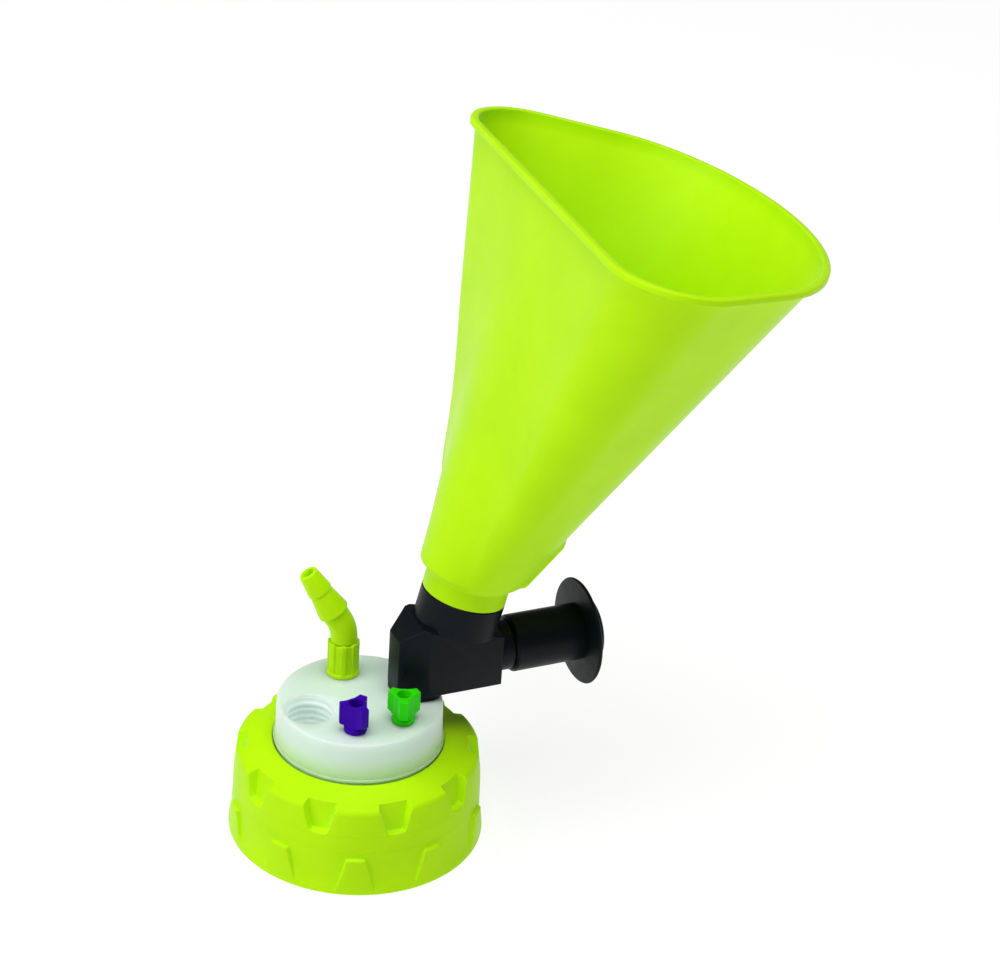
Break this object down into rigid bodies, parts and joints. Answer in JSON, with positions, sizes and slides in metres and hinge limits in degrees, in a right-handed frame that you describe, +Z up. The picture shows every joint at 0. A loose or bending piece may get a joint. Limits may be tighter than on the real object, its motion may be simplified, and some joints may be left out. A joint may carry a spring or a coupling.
{
  "type": "waste canister safety cap with funnel",
  "caption": "Screw cap with a ported insert, hose elbow, winged capillary fittings and a leaning D-mouthed funnel closed by a push-pull slide valve.",
  "frame": {"origin": "centre of the screw cap's open end", "axes": "+Z up along the cap's axis, +X towards the plunger knob and the funnel's lean, Y across the valve block"},
  "size_m": [0.1659, 0.1476, 0.201],
  "materials": {
    "lime_plastic": "satin moulded polyethylene",
    "white_plastic": "satin fluoropolymer, slightly translucent",
    "black_plastic": "satin conductive plastic",
    "seal_rubber": "matte",
    "purple_plastic": "satin",
    "green_plastic": "satin",
    "rod_steel": "turned"
  },
  "bodies": {
    "cap": {"screw_cap": "lime_plastic"},
    "head": {"port_insert": "white_plastic", "cap_gasket": "seal_rubber", "elbow_nut": "lime_plastic", "purple_ferrule": "white_plastic", "green_ferrule": "white_plastic", "valve_block": "black_plastic", "outlet_nipple": "black_plastic", "outlet_seal": "seal_rubber", "gland_nut": "black_plastic", "rod_seal": "seal_rubber", "funnel": "lime_plastic", "funnel_seal": "seal_rubber"},
    "elbow": {"hose_barb": "lime_plastic", "elbow_o_ring": "seal_rubber"},
    "purple_nut": {"purple_fitting": "purple_plastic"},
    "green_nut": {"green_fitting": "green_plastic"},
    "plunger": {"piston": "black_plastic", "piston_o_ring_front": "seal_rubber", "piston_o_ring_rear": "seal_rubber", "piston_rod": "rod_steel", "grip_sleeve": "black_plastic", "knob": "black_plastic", "knob_cap": "black_plastic", "knob_screw": "rod_steel"}
  },
  "joints": [
    {"name": "head_swivel", "type": "hinge", "parent": "cap", "child": "head", "pos_m": [0, 0, 0.027], "axis": [0, 0, 1], "continuous": true},
    {"name": "plunger_pull", "type": "slide", "parent": "head", "child": "plunger", "axis": [1, 0, 0], "range_m": [0, 0.0135]},
    {"name": "elbow_swivel", "type": "hinge", "parent": "head", "child": "elbow", "pos_m": [0.0003, 0.0155, 0.05], "axis": [0, 0, 1], "continuous": true},
    {"name": "purple_turn", "type": "hinge", "parent": "head", "child": "purple_nut", "pos_m": [-0.00705, -0.01475, 0.043], "axis": [0, 0, 1], "range_deg": [0, 360]},
    {"name": "green_turn", "type": "hinge", "parent": "head", "child": "green_nut", "pos_m": [0.0079, -0.0147, 0.043], "axis": [0, 0, 1], "range_deg": [0, 360]}
  ]
}
